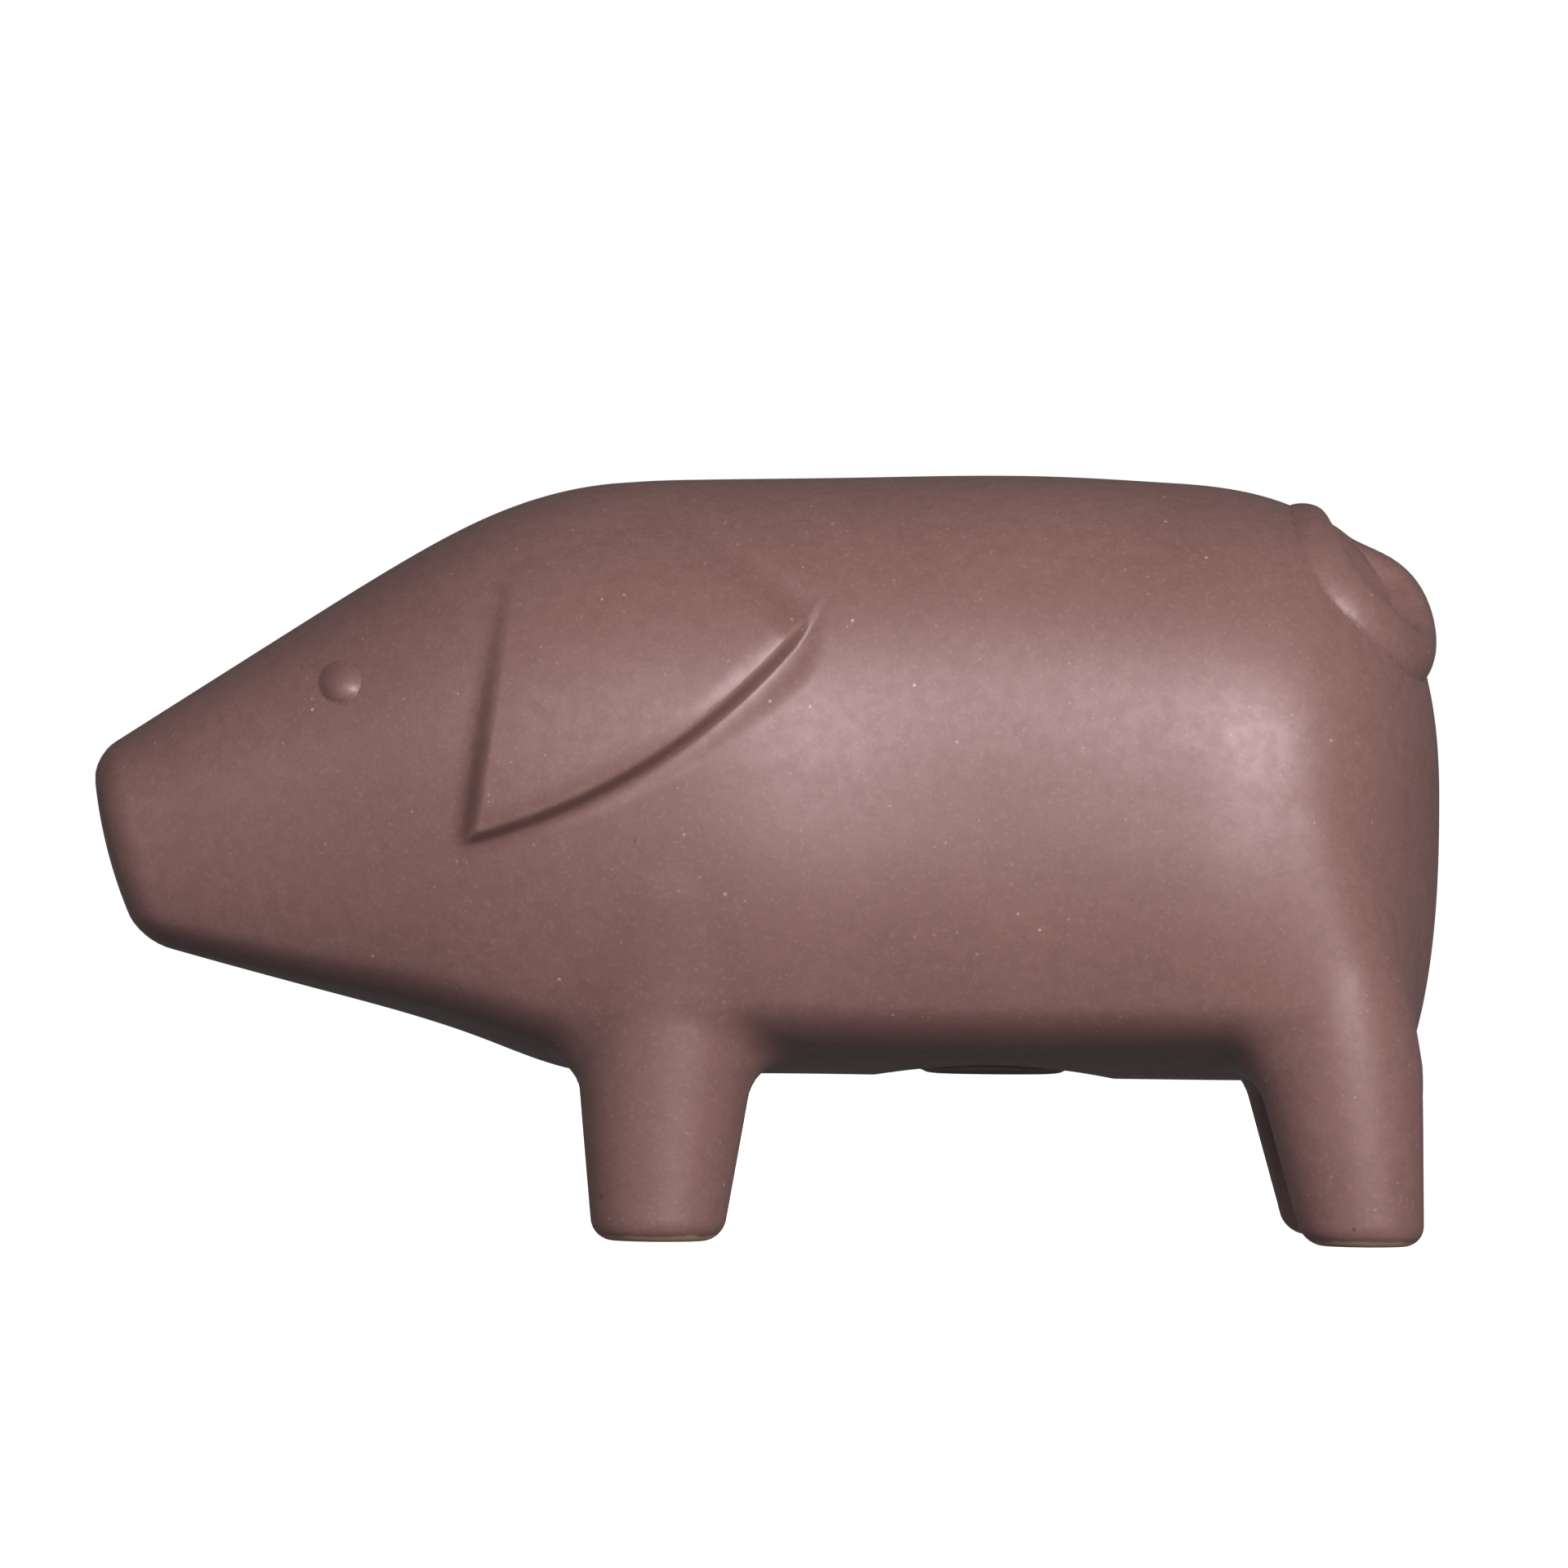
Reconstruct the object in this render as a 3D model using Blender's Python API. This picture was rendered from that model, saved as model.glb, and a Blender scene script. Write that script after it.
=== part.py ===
"""Ceramic piggy bank: one hollow slip-cast pig standing on four legs, and the soft plug that closes its belly.

Lengths below are in millimetres. The snout points to -X, the feet stand on Z = 0 and the pig mirrors in Y = 0.
"""

import math

import bpy
import numpy as np

MM = 0.001

# Outline of the pig at its mid-plane, as (X, value) stations joined by a smooth curve
TOP_LINE = ((-106, 66.9), (-84, 81.1), (-70, 90.1), (-56, 98.9), (-42, 106.5), (-28, 111.0),
            (-12, 112.3), (12, 112.8), (42, 113.2), (68, 112.0), (104, 112.0))
MIDDLE_LINE = ((-104, 57.6), (-60, 63.0), (-30, 64.0), (104, 64.0))
LOW_LINE = ((-104, 43.0), (-60, 27.0), (-30, 17.0), (0, 15.0), (55, 14.0), (104, -6.0))
BELLY_LINE = ((-104, 46.3), (-89, 42.1), (-66, 36.0), (-42, 29.0), (-29, 24.6), (-14, 23.9), (30, 23.9),
              (104, 23.6))
HALF_WIDTH = ((-104, 14.0), (-96, 16.6), (-78, 23.2), (-58, 30.2), (-38, 36.4), (-20, 40.2), (-4, 41.5),
              (15, 40.8), (42, 41.5), (68, 42.1), (104, 42.1))
HEIGHT_POWER = ((-104, 2.1), (-40, 2.25), (0, 2.4), (104, 2.4))
SIDE_POWER = ((-104, 2.1), (-40, 2.25), (0, 2.4), (50, 2.4), (104, 2.0))

RUMP_START = 60.0        # X where the rump begins to turn in
RUMP_END = 100.0         # X of the rear end
RUMP_POWER = 2.5
BELLY_RISE = 7.5         # how far the underside climbs out to the flank corner
BELLY_RISE_AT = 35.0
FLANK_RADIUS = 3.0       # corner between flank and underside
SNOUT_CENTRE = (-30.4, 74.4)
SNOUT_RADIUS = 69.9      # the snout is a shallow dome cut across the cone of the head
SNOUT_EDGE = 3.2

# Each pair of legs: foot centre X, lean of its axis, foot radius, how fast its top bends forward
FRONT_LEG = (-15.5, 0.04, 9.5, 0.0)
REAR_LEG = (87.8, -0.147, 8.8, 0.003)
# The outer side of each pair, from floor to top: distance from the mid-plane, slope, bend, and where it ends
FRONT_SIDE = (33.4, 0.07, 0.0016, 46.0)
REAR_SIDE = (33.4, 0.13, -0.0009, 60.0)
FRONT_OUTWARD = (0.0, 1.0)
REAR_OUTWARD = (0.5, 0.87)
LEG_TAPER = 0.135
LEG_TAPER_TOP = 26.0
LEG_TURN = 24.0           # above this the rear legs bend forward
FOOT_EDGE = 3.0
LEG_FILLET = 6.0

EAR_FRONT = ((-38.7, 98.4), (-43.9, 59.5))
EAR_CORNER = (-43.3, 57.6)
EAR_TIP = (6.6, 90.4)
EAR_LOWER_RADIUS = 92.0
EAR_TOP = ((6.6, 91.2), (-16.5, 106.6))
EAR_TOP_RADIUS = 110.0
EAR_HEIGHT = 3.4          # at the free lower corner, less toward the root
EAR_STEP = 3.0           # width of the step down from the ear to the cheek

EYE = (-62.6, 81.4)
EYE_RADIUS = 3.4
EYE_HEIGHT = 1.4

TAIL_CENTRE = (88.5, 96.6)
TAIL_NORMAL = (0.80, 0.60)
# The tail's curl, from its thick root to its tip: (down the rump, across it, half-width, height)
TAIL_PATH = ((-9.5, 2.5, 3.6, 0.8), (-4.5, 3.0, 4.5, 1.3), (0.5, 3.0, 5.6, 3.5), (5.0, 2.0, 6.4, 4.3),
             (9.0, -2.5, 5.8, 3.6), (11.8, -9.5, 4.0, 2.7), (10.8, -17.5, 3.6, 2.6), (5.2, -23.5, 3.5, 2.6),
             (-2.0, -25.5, 3.4, 2.5), (-8.5, -22.0, 3.2, 2.4), (-13.0, -13.5, 2.8, 2.0), (-14.3, -4.0, 2.4, 1.4),
             (-13.2, 3.0, 1.9, 0.5))
TAIL_DISH = (-1.0, -11.5, 8.5, 3.4)         # the hollow inside the curl: down, across, radius, depth
TAIL_STEPS = 45

WALL = 4.0
SLOT_X = 12.0
SLOT_LENGTH = 38.0
SLOT_WIDTH = 5.0
HOLE_X = 34.0
HOLE_RADIUS = 14.5
SEAT_RADIUS = 17.2
SEAT_TOP = 27.6
BOSS_RADIUS = 23.0        # thicker ring of wall around the hole
BOSS_TOP = 30.8
CLEARANCE = 0.3

PLUG_FACE = 24.0         # lowest point of the plug's domed flange
PLUG_DOME = 1.4
PLUG_TOP = 36.0
PLUG_RIB = 0.6

OUTER_STEP = 1.4         # mesh sizes
CORE_STEP = 3.4
OUTER_FACES = 9000
CORE_FACES = 1800


def smooth_curve(stations, x):
    """Natural cubic spline through the stations, held level past both ends."""
    at, value = np.array(stations, float).T
    gap = np.diff(at)
    slope = np.diff(value) / gap
    size = len(at)
    matrix = np.eye(size)
    right = np.zeros(size)
    for i in range(1, size - 1):
        matrix[i, i - 1:i + 2] = gap[i - 1], 2 * (gap[i - 1] + gap[i]), gap[i]
        right[i] = 6 * (slope[i] - slope[i - 1])
    bend = np.linalg.solve(matrix, right)
    x = np.clip(x, at[0], at[-1])
    i = np.clip(np.searchsorted(at, x) - 1, 0, size - 2)
    a = at[i + 1] - x
    b = x - at[i]
    cubic = (bend[i] * a ** 3 + bend[i + 1] * b ** 3) / (6 * gap[i])
    left = value[i] / gap[i] - bend[i] * gap[i] / 6
    right = value[i + 1] / gap[i] - bend[i + 1] * gap[i] / 6
    return cubic + left * a + right * b


def smooth_step(t):
    t = np.clip(t, 0.0, 1.0)
    return t * t * (3 - 2 * t)


def round_union(a, b, radius):
    both = np.hypot(np.maximum(radius - a, 0), np.maximum(radius - b, 0))
    return np.maximum(radius, np.minimum(a, b)) - both


def round_cut(a, b, radius):
    both = np.hypot(np.maximum(radius + a, 0), np.maximum(radius + b, 0))
    return np.minimum(-radius, np.maximum(a, b)) + both


def gradient(field, p):
    step = 0.02
    slopes = []
    for axis in range(3):
        shift = np.zeros(3)
        shift[axis] = step
        slopes.append((field(p + shift) - field(p - shift)) / (2 * step))
    return np.stack(slopes, axis=-1)


def barrel_level(p):
    """1 on the barrel of body and head, less inside."""
    x, y, z = p.T
    middle = smooth_curve(MIDDLE_LINE, x)
    reach = np.where(z > middle, smooth_curve(TOP_LINE, x) - middle, middle - smooth_curve(LOW_LINE, x))
    power = smooth_curve(HEIGHT_POWER, x)
    side_power = smooth_curve(SIDE_POWER, x)
    up = np.abs(z - middle) / reach
    side = np.abs(y) / smooth_curve(HALF_WIDTH, x)
    back = np.maximum(x - RUMP_START, 0) / (RUMP_END - RUMP_START)
    return (up ** power + side ** side_power + back ** RUMP_POWER + 1e-9) ** (1 / power)


def barrel(p):
    size = np.linalg.norm(gradient(barrel_level, p), axis=-1)
    return (barrel_level(p) - 1) / np.maximum(size, 0.008)


def underside(p):
    x, y, z = p.T
    slope = (smooth_curve(BELLY_LINE, x + 0.5) - smooth_curve(BELLY_LINE, x - 0.5))
    rise = BELLY_RISE * (y / BELLY_RISE_AT) ** 2
    tilt = 2 * BELLY_RISE * y / BELLY_RISE_AT ** 2
    return (smooth_curve(BELLY_LINE, x) + rise - z) / np.sqrt(1 + slope ** 2 + tilt ** 2)


def snout_face(p):
    x, y, z = p.T
    depth = np.sqrt(np.maximum(SNOUT_RADIUS ** 2 - y ** 2 - (z - SNOUT_CENTRE[1]) ** 2, SNOUT_RADIUS ** 2 / 2))
    return (SNOUT_CENTRE[0] - depth - x) * depth / SNOUT_RADIUS


def leg(p, shape, side, outward):
    """One tapered leg on both sides of the mid-plane, and how far each point of it faces outward, 0 to 1."""
    x, y, z = p.T
    foot_x, lean, foot_radius, forward = shape
    foot_side, slope, bend, top = side
    radius = foot_radius + LEG_TAPER * np.clip(z, 0, LEG_TAPER_TOP)
    climb = np.maximum(z - LEG_TURN, 0) ** 2
    over = np.maximum(z - top, 0)
    height = np.clip(z, 0, top)
    dx = x - foot_x - lean * z + forward * climb
    dy = np.abs(y) - (foot_side + slope * height + bend * height ** 2 - radius)
    reach = np.sqrt(dx ** 2 + dy ** 2 + over ** 2)
    facing = smooth_step((dx * outward[0] + dy * outward[1]) / np.maximum(reach, 1e-6) * 1.2)
    return round_cut(reach - radius, -0.4 - z, FOOT_EDGE), facing


def bare_pig(p):
    """Distance to the pig without ears, eyes or tail."""
    body = round_cut(barrel(p), underside(p), FLANK_RADIUS)
    body = round_cut(body, snout_face(p), SNOUT_EDGE)
    front, front_facing = leg(p, FRONT_LEG, FRONT_SIDE, FRONT_OUTWARD)
    rear, rear_facing = leg(p, REAR_LEG, REAR_SIDE, REAR_OUTWARD)
    facing = np.where(front < rear, front_facing, rear_facing)
    return round_union(body, np.minimum(front, rear), LEG_FILLET * (1 - 0.7 * facing))


def arc_side(x, z, start, end, radius):
    """Distance outside the arc that bulges to the right of the way from start to end."""
    ax, az = start
    bx, bz = end
    chord = math.hypot(bx - ax, bz - az)
    ux, uz = (bx - ax) / chord, (bz - az) / chord
    inward = math.sqrt(radius ** 2 - chord ** 2 / 4)
    cx = (ax + bx) / 2 - uz * inward
    cz = (az + bz) / 2 + ux * inward
    return np.hypot(x - cx, z - cz) - radius


def ear_relief(p):
    x, _, z = p.T
    (fx, fz), (gx, gz) = EAR_FRONT
    run = math.hypot(gx - fx, gz - fz)
    front = ((x - fx) * (gz - fz) - (z - fz) * (gx - fx)) / run
    lower = arc_side(x, z, EAR_CORNER, EAR_TIP, EAR_LOWER_RADIUS)
    upper = arc_side(x, z, EAR_TOP[0], EAR_TOP[1], EAR_TOP_RADIUS)
    root = np.clip(((x - fx) * 0.31 - (z - fz) * 0.95) / 38.0, 0, 1) ** 0.8
    edge = round_cut(front, lower, 1.5)
    step = smooth_step(-edge / EAR_STEP + 0.2)
    back = smooth_step(-upper / 4.0)
    return EAR_HEIGHT * root * step * back


def eye_relief(p):
    x, y, z = p.T
    away = np.hypot(x - EYE[0], z - EYE[1]) / EYE_RADIUS
    return EYE_HEIGHT * np.clip(1 - away ** 2, 0, 1) ** 0.8 * (np.abs(y) > 5)


def tail_relief(p):
    """A curl lying on the rump, as a ridge along a spiral path."""
    x, y, z = p.T
    nx, nz = TAIL_NORMAL
    relief = np.zeros(len(p))
    out = (x - TAIL_CENTRE[0]) * nx + (z - TAIL_CENTRE[1]) * nz
    near = out > -16
    along = ((x - TAIL_CENTRE[0]) * nz - (z - TAIL_CENTRE[1]) * nx)[near]
    stations = np.array(TAIL_PATH)
    steps = np.arange(len(stations))
    at = np.linspace(0, steps[-1], TAIL_STEPS)
    path = [smooth_curve(list(zip(steps, column)), at) for column in stations.T]
    path = np.stack(path, axis=-1)
    ridge = np.zeros(len(along))
    for first, second in zip(path[:-1], path[1:]):
        run = second[:2] - first[:2]
        share = ((along - first[0]) * run[0] + (y[near] - first[1]) * run[1]) / (run @ run)
        share = np.clip(share, 0, 1)
        down, across, width, height = (a + share * (b - a) for a, b in zip(first, second))
        away = ((along - down) ** 2 + (y[near] - across) ** 2) / width ** 2
        ridge = np.maximum(ridge, height * np.clip(1 - away, 0, 1) ** 0.75)
    relief[near] = ridge
    return relief


def tail_dish(p):
    x, y, z = p.T
    nx, nz = TAIL_NORMAL
    out = (x - TAIL_CENTRE[0]) * nx + (z - TAIL_CENTRE[1]) * nz
    along = (x - TAIL_CENTRE[0]) * nz - (z - TAIL_CENTRE[1]) * nx
    down, across, radius, depth = TAIL_DISH
    away = np.hypot(along - down, y - across) / radius
    return depth * smooth_step(1.3 - away) * (out > -16)


def pig(p):
    return bare_pig(p) - ear_relief(p) - eye_relief(p) - tail_relief(p) + tail_dish(p)


def hollow(p):
    x, y, z = p.T
    boss = np.maximum(np.hypot(x - HOLE_X, y) - BOSS_RADIUS, z - BOSS_TOP)
    return round_cut(bare_pig(p) + WALL + tail_dish(p), -boss, 3.0)


def settle(field, points, passes, longest):
    """Move points along the field's slope until they lie on its surface."""
    for _ in range(passes):
        value = field(points)
        slope = gradient(field, points)
        move = slope * (value / np.maximum((slope ** 2).sum(-1), 0.05))[:, None]
        length = np.linalg.norm(move, axis=-1)[:, None]
        points = points - move * np.minimum(1, longest / np.maximum(length, 1e-9))
    return points


def skin(field, low, high, step):
    """Quads over the surface where the field is zero, one vertex in each grid cell that the surface crosses."""
    axes = [np.arange(a, b + step, step) for a, b in zip(low, high)]
    grid = np.stack(np.meshgrid(*axes, indexing="ij"), axis=-1)
    value = field(grid.reshape(-1, 3)).reshape(grid.shape[:3])
    inside = value < 0
    cells = tuple(n - 1 for n in value.shape)
    total = np.zeros(cells + (3,))
    hits = np.zeros(cells)
    crossings = []
    for axis in range(3):
        others = [a for a in range(3) if a != axis]
        first = [slice(None)] * 3
        second = [slice(None)] * 3
        first[axis] = slice(0, -1)
        second[axis] = slice(1, None)
        first, second = tuple(first), tuple(second)
        crosses = inside[first] != inside[second]
        share = value[first] / np.where(crosses, value[first] - value[second], 1)
        place = grid[first] + share[..., None] * (grid[second] - grid[first])
        for i in (0, 1):
            for j in (0, 1):
                window = [slice(None)] * 3
                window[others[0]] = slice(i, i + cells[others[0]])
                window[others[1]] = slice(j, j + cells[others[1]])
                window = tuple(window)
                total += np.where(crosses[window][..., None], place[window], 0)
                hits += crosses[window]
        crossings.append((others, crosses, inside[first]))
    used = hits > 0
    number = np.full(cells, -1)
    number[used] = np.arange(used.sum())
    points = total[used] / hits[used][:, None]
    quads = []
    for axis, (others, crosses, starts_inside) in enumerate(crossings):
        at = np.argwhere(crosses)
        corner = []
        for i, j in ((0, 0), (1, 0), (1, 1), (0, 1)):
            cell = at.copy()
            cell[:, others[0]] -= i
            cell[:, others[1]] -= j
            corner.append(number[tuple(cell.T)])
        quad = np.stack(corner, axis=-1)
        turned = starts_inside[tuple(at.T)] == (axis == 1)
        quad[turned] = quad[turned][:, ::-1]
        quads.append(quad)
    return points, np.concatenate(quads)


def relax(points, quads):
    """Draw each vertex halfway to the mean of its neighbours."""
    total = np.zeros_like(points)
    count = np.zeros(len(points))
    for k in range(4):
        a, b = quads[:, k], quads[:, (k + 1) % 4]
        np.add.at(total, a, points[b])
        np.add.at(total, b, points[a])
        np.add.at(count, a, 1)
        np.add.at(count, b, 1)
    return (points + total / count[:, None]) / 2


def new_collection(name):
    collection = bpy.data.collections.new(name)
    bpy.context.scene.collection.children.link(collection)
    return collection


def new_object(name, points, faces, collection, smooth=True):
    mesh = bpy.data.meshes.new(name)
    mesh.from_pydata((np.asarray(points) * MM).tolist(), [], [list(map(int, f)) for f in faces])
    mesh.update()
    for polygon in mesh.polygons:
        polygon.use_smooth = smooth
    item = bpy.data.objects.new(name, mesh)
    collection.objects.link(item)
    return item


def skin_object(name, bare, field, low, high, step, faces_wanted, collection):
    """Skin the plain shape, then push the vertices out to the same shape with its reliefs."""
    points, quads = skin(bare, low, high, step)
    points = settle(bare, relax(points, quads), 2, step / 2)
    for _ in range(2):
        points = settle(field, relax(points, quads), 2, step)
    points = settle(field, points, 3, step / 2)
    item = new_object(name, points, quads, collection)
    thin = item.modifiers.new("Fewer faces", "DECIMATE")
    thin.ratio = faces_wanted / (2 * len(quads))
    return item


def lathe(name, profile, centre, collection, sides=64, smooth=True):
    """Turn an (radius, Z) profile that starts and ends on the axis about a vertical axis."""
    points = [(centre[0], centre[1], profile[0][1])]
    for radius, z in profile[1:-1]:
        for k in range(sides):
            turn = 2 * math.pi * k / sides
            points.append((centre[0] + radius * math.cos(turn), centre[1] + radius * math.sin(turn), z))
    points.append((centre[0], centre[1], profile[-1][1]))
    rings = len(profile) - 2
    faces = []
    for k in range(sides):
        after = (k + 1) % sides
        faces.append((0, 1 + after, 1 + k))
        for r in range(rings - 1):
            low = 1 + r * sides
            faces.append((low + k, low + after, low + sides + after, low + sides + k))
        last = 1 + (rings - 1) * sides
        faces.append((last + k, last + after, len(points) - 1))
    return new_object(name, points, faces, collection, smooth)


def stadium(name, centre_x, length, width, low, high, collection, sides=16):
    """Upright prism with half-round ends, its length along X."""
    ring = []
    radius = width / 2
    for end in (1, -1):
        for k in range(sides + 1):
            turn = end * math.pi / 2 * (2 * k / sides - 1) if end > 0 else math.pi / 2 + math.pi * k / sides
            middle = centre_x + end * (length / 2 - radius)
            ring.append((middle + radius * math.cos(turn), radius * math.sin(turn)))
    count = len(ring)
    points = [(x, y, low) for x, y in ring] + [(x, y, high) for x, y in ring]
    faces = [tuple(reversed(range(count))), tuple(range(count, 2 * count))]
    for k in range(count):
        after = (k + 1) % count
        faces.append((k, after, count + after, count + k))
    return new_object(name, points, faces, collection, False)


def block(name, low, high, collection):
    points = [(x, y, z) for z in (low[2], high[2]) for y in (low[1], high[1]) for x in (low[0], high[0])]
    faces = [(0, 2, 3, 1), (4, 5, 7, 6), (0, 1, 5, 4), (2, 6, 7, 3), (0, 4, 6, 2), (1, 3, 7, 5)]
    return new_object(name, points, faces, collection, False)


def cut(target, cutter):
    cutter.hide_render = True
    cutter.display_type = "WIRE"
    boolean = target.modifiers.new("Cut " + cutter.name, "BOOLEAN")
    boolean.operation = "DIFFERENCE"
    boolean.solver = "EXACT"
    boolean.object = cutter


def finish_material(item, name, colour, roughness, coat=0.0):
    material = bpy.data.materials.new(name)
    material.use_nodes = True
    shader = material.node_tree.nodes["Principled BSDF"]
    shader.inputs["Base Color"].default_value = (*colour, 1.0)
    shader.inputs["Roughness"].default_value = roughness
    shader.inputs["Coat Weight"].default_value = coat
    material.diffuse_color = (*colour, 1.0)
    item.data.materials.append(material)


def build():
    for item in list(bpy.data.objects):
        bpy.data.objects.remove(item)
    parts = new_collection("piggy_bank")
    cutters = new_collection("cutters")

    low = (-105, -47, -4)
    high = (107, 47, 119)
    body = skin_object("ceramic_body", bare_pig, pig, low, high, OUTER_STEP, OUTER_FACES, parts)
    core = skin_object("core", hollow, hollow, low, high, CORE_STEP, CORE_FACES, cutters)
    slot = stadium("coin_slot", SLOT_X, SLOT_LENGTH, SLOT_WIDTH, 100, 122, cutters)
    stepped = ((0, 10), (SEAT_RADIUS, 10), (SEAT_RADIUS, SEAT_TOP),
               (HOLE_RADIUS, SEAT_TOP), (HOLE_RADIUS, 40), (0, 40))
    hole = lathe("belly_hole", stepped, (HOLE_X, 0), cutters)
    floor = block("floor", (-120, -60, -20), (120, 60, 0), cutters)
    for cutter in (floor, core, slot, hole):
        cut(body, cutter)

    flange = SEAT_RADIUS - 0.6
    neck = HOLE_RADIUS - CLEARANCE
    shoulder = SEAT_TOP - CLEARANCE
    profile = [(radius, PLUG_FACE + PLUG_DOME * (radius / flange) ** 2) for radius in (0, 4, 8, 12, flange - 0.6)]
    profile += [(flange, PLUG_FACE + PLUG_DOME + 0.5)]
    profile += [(flange, shoulder), (neck - PLUG_RIB, shoulder)]
    for rib in (29.0, 32.2):
        profile += [(neck - PLUG_RIB, rib - 0.8), (neck, rib), (neck, rib + 0.6), (neck - PLUG_RIB, rib + 1.4)]
    profile += [(neck - PLUG_RIB, PLUG_TOP - 1.5), (neck - 2.2, PLUG_TOP), (0, PLUG_TOP)]
    plug = lathe("belly_stopper", profile, (HOLE_X, 0), parts)

    finish_material(body, "Mauve satin glaze", (0.26, 0.16, 0.15), 0.42, 0.25)
    finish_material(plug, "Soft plug", (0.13, 0.085, 0.075), 0.6)


build()
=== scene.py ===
import math

import bpy
import numpy as np
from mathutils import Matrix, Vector


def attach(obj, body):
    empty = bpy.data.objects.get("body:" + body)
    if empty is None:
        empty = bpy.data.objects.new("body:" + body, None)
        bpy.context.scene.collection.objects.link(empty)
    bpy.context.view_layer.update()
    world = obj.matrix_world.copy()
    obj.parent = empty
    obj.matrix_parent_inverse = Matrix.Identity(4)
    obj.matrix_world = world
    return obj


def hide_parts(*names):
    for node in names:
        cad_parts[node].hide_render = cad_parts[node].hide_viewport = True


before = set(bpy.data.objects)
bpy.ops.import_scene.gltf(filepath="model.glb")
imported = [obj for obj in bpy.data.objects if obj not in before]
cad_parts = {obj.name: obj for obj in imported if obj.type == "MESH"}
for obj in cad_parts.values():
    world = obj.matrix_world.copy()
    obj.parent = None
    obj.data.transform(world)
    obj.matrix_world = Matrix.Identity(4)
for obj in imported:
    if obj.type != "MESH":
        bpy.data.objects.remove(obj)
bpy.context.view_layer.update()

# A ceramic piggy bank: the hollow glazed pig and the soft plug in its belly.
# Shape constants are in millimetres, in the row frame: snout to -X, feet on Z = 0, mirror plane Y = 0.

MM = 0.001

# The barrel of body and head, along X: its top, its middle, its lowest line and its half-width.
# The powers make its cross-section fuller than an ellipse.
TOP_LINE = ((-106, 66.9), (-84, 81.1), (-70, 90.1), (-56, 98.9), (-42, 106.5), (-28, 111.0),
            (-12, 112.3), (12, 112.8), (42, 113.2), (68, 112.0), (104, 112.0))
MIDDLE_LINE = ((-104, 57.6), (-60, 63.0), (-30, 64.0), (104, 64.0))
LOW_LINE = ((-104, 43.0), (-60, 27.0), (-30, 17.0), (0, 15.0), (55, 14.0), (104, -6.0))
BELLY_LINE = ((-104, 46.3), (-89, 42.1), (-66, 36.0), (-42, 29.0), (-29, 24.6), (-14, 23.9), (30, 23.9),
              (104, 23.6))
HALF_WIDTH = ((-104, 14.0), (-96, 16.6), (-78, 23.2), (-58, 30.2), (-38, 36.4), (-20, 40.2), (-4, 41.5),
              (15, 40.8), (42, 41.5), (68, 42.1), (104, 42.1))
HEIGHT_POWER = ((-104, 2.1), (-40, 2.25), (0, 2.4), (104, 2.4))
SIDE_POWER = ((-104, 2.1), (-40, 2.25), (0, 2.4), (50, 2.4), (104, 2.0))

RUMP_START = 60.0        # where the barrel starts to close toward the rump
RUMP_END = 99.95
RUMP_POWER = 2.5
BELLY_RISE = 7.5         # how much higher the belly is at BELLY_RISE_AT from the mid-plane
BELLY_RISE_AT = 35.0
FLANK_RADIUS = 3.0       # edge between flank and belly
SNOUT_CENTRE = (-30.4, 74.4)   # the snout's face is part of a large sphere: centre X and Z
SNOUT_RADIUS = 69.9
SNOUT_EDGE = 3.2

# Each pair of legs: foot centre X, lean of its axis, foot radius, how fast its top bends forward
FRONT_LEG = (-15.5, 0.04, 9.5, 0.0)
REAR_LEG = (87.8, -0.147, 8.8, 0.003)
# The outer side of each pair, from floor to top: distance from the mid-plane, slope, bend, and where it ends
FRONT_SIDE = (33.6, 0.075, 0.0005, 50.0)
REAR_SIDE = (33.4, 0.13, -0.0009, 60.0)
FRONT_OUTWARD = (0.0, 1.0)
REAR_OUTWARD = (0.5, 0.87)
LEG_TAPER = 0.135        # growth of the radius with height, up to LEG_TAPER_TOP
LEG_TAPER_TOP = 26.0
LEG_TURN = 24.0          # the height where the top starts to bend forward
FOOT_EDGE = 3.0
LEG_FILLET = 6.0         # where leg meets body, less where the leg faces outward
OUTWARD_SHARE = 0.5      # how much of the fillet is lost there

# The ear, seen from the side: its straight front edge, its lower edge and its top edge as arcs
EAR_FRONT = ((-38.7, 98.4), (-43.9, 59.5))
EAR_CORNER = (-43.3, 57.6)
EAR_TIP = (6.6, 90.4)
EAR_LOWER_RADIUS = 92.0
EAR_TOP = ((6.6, 91.2), (-16.5, 106.6))
EAR_TOP_RADIUS = 110.0
EAR_HEIGHT = 3.4         # at the free lower corner, less toward the root
EAR_HANG = (0.31, -0.95)       # the way the ear hangs from its root
EAR_LENGTH = 38.0        # from the root to where the ear is at its full height
EAR_ROLL = 4.6           # how far in from its lower edge the ear starts to roll over
EAR_ROLL_BEND = 0.07
EAR_LOWER_LIP = 1.8      # shoulder radius of the lower and front edges
EAR_FRONT_LIP = 2.4
EAR_BACK_BLEND = 7.0     # width over which the ear's back melts into the neck
TROUGH_REACH = (2.0, 3.6)      # width of the trough under the lower edge, and its growth toward the tip
TROUGH_DEPTH = 1.0
FOLD_DEPTH = 0.45        # the crease along the ear's back
FOLD_WIDTH = 2.2

EYE = (-62.6, 81.4)
EYE_RADIUS = 3.1
EYE_HEIGHT = 1.25

TAIL_CENTRE = (88.5, 96.6)     # X and Z, on the rump
TAIL_NORMAL = (0.80, 0.60)     # straight out of the rump there
TAIL_BEHIND = -16.0      # the tail shapes nothing deeper than this under the rump
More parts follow.
